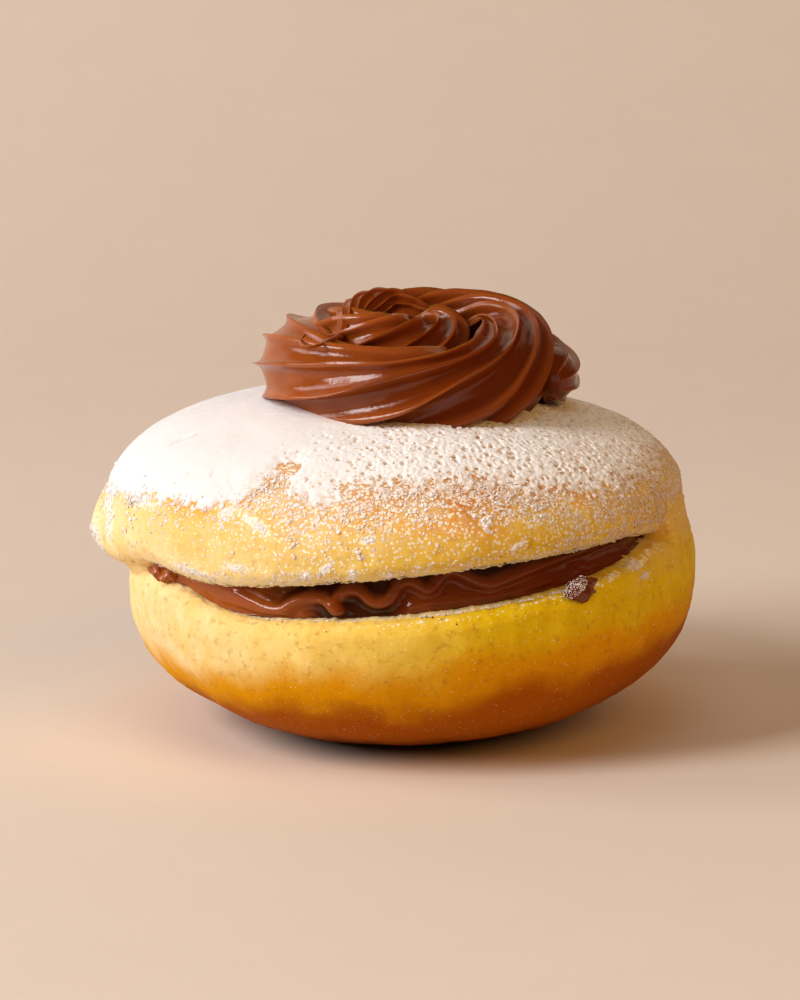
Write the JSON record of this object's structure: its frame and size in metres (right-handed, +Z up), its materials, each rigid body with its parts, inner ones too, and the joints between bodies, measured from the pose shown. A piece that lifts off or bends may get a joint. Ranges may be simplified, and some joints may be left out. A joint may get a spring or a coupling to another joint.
{
  "type": "berliner",
  "caption": "Round fried berliner bun, slit along its front and filled with chocolate cream, with a piped chocolate cream rosette on its sugar-dusted top.",
  "frame": {"origin": "centre of the small flat spot that the bun stands on", "axes": "+Z up through the rosette, -Y out of the slit that shows the filling, +X to the right as seen from the slit's side"},
  "size_m": [0.095, 0.092, 0.0678],
  "materials": {
    "fried_dough": "matte",
    "chocolate_cream": "satin",
    "powdered_sugar": "matte"
  },
  "bodies": {
    "root": {"bun": "fried_dough", "cream_filling": "chocolate_cream", "cream_rosette": "chocolate_cream", "cream_smear": "chocolate_cream"}
  },
  "joints": []
}
